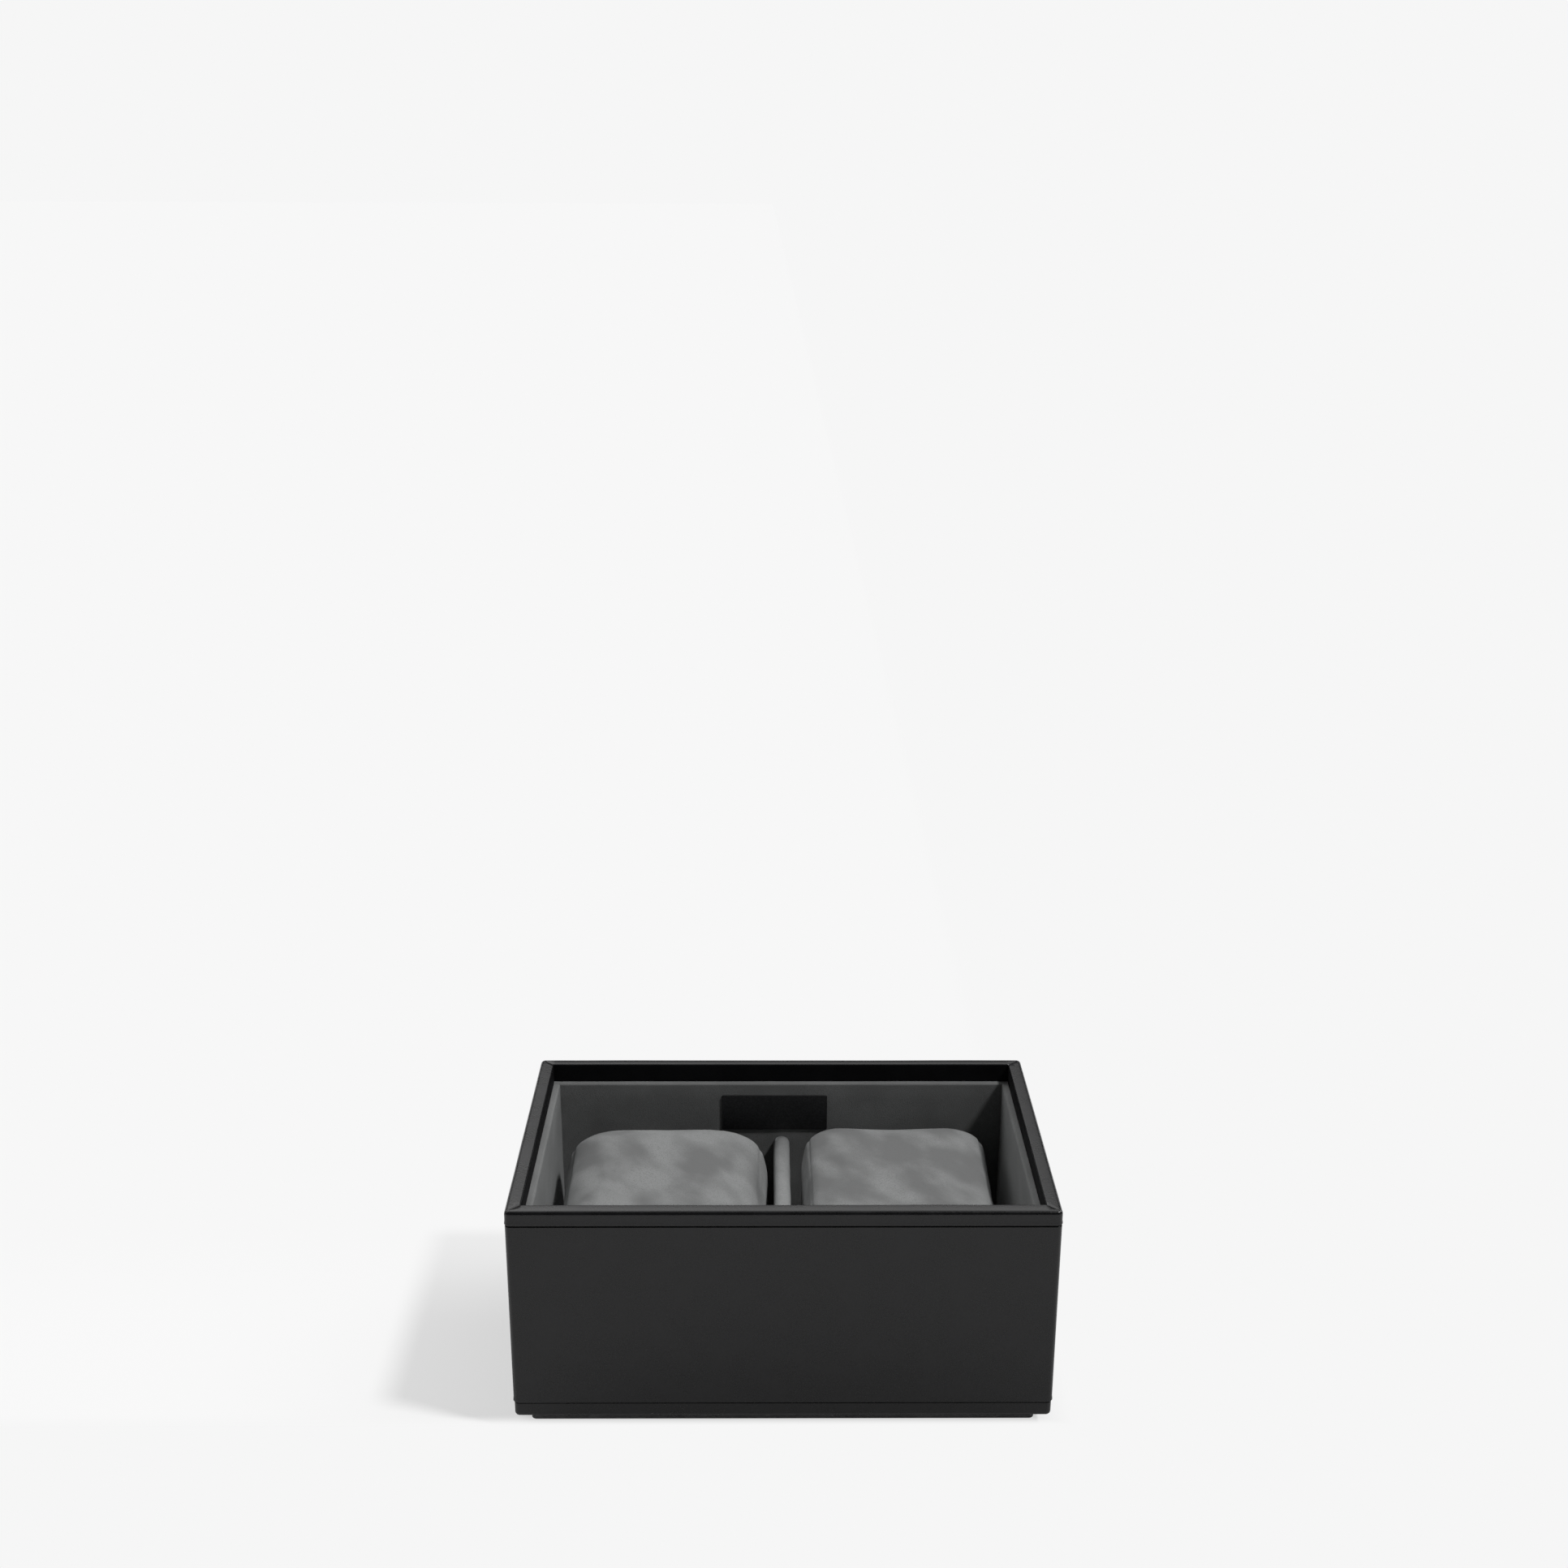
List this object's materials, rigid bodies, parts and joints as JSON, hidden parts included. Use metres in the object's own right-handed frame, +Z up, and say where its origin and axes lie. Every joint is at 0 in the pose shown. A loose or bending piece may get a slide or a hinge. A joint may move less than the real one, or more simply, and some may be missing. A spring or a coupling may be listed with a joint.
{
  "type": "stacking watch box",
  "caption": "Open-topped watch box in black leatherette with a grey velvet lining, a divider, lift-out pillows for watches and a plinth that nests in the box below.",
  "frame": {"origin": "on the ground under the middle of the box", "axes": "+X to the right along the front's long side, +Y to the back, +Z up"},
  "size_m": [0.18, 0.125, 0.082],
  "materials": {
    "board": "matte",
    "card": "matte",
    "leatherette": "satin",
    "velvet": "matte",
    "foam": "matte",
    "felt": "matte",
    "tab": "satin"
  },
  "bodies": {
    "tray": {"front_wall_board": "board", "back_wall_board": "board", "left_wall_board": "board", "right_wall_board": "board", "base_board": "board", "plinth_board": "board", "divider_board": "board", "front_lining_card": "card", "back_lining_card": "card", "left_lining_card": "card", "right_lining_card": "card", "floor_lining_card": "card", "rim_binding": "leatherette", "side_wrap": "leatherette", "base_wrap": "leatherette", "front_lining_velvet": "velvet", "back_lining_velvet": "velvet", "left_lining_velvet": "velvet", "right_lining_velvet": "velvet", "floor_lining_velvet": "velvet", "divider_velvet": "velvet", "plinth_wrap": "felt", "base_felt": "felt", "blank_tab": "tab"},
    "left_pillow": {"left_pillow_cover": "velvet", "left_pillow_foam": "foam"},
    "right_pillow": {"right_pillow_cover": "velvet", "right_pillow_foam": "foam"}
  },
  "joints": [
    {"name": "left_pillow_lift", "type": "slide", "parent": "tray", "child": "left_pillow", "axis": [0, 0, 1], "range_m": [0, 0.09]},
    {"name": "right_pillow_lift", "type": "slide", "parent": "tray", "child": "right_pillow", "axis": [0, 0, 1], "range_m": [0, 0.09]}
  ]
}
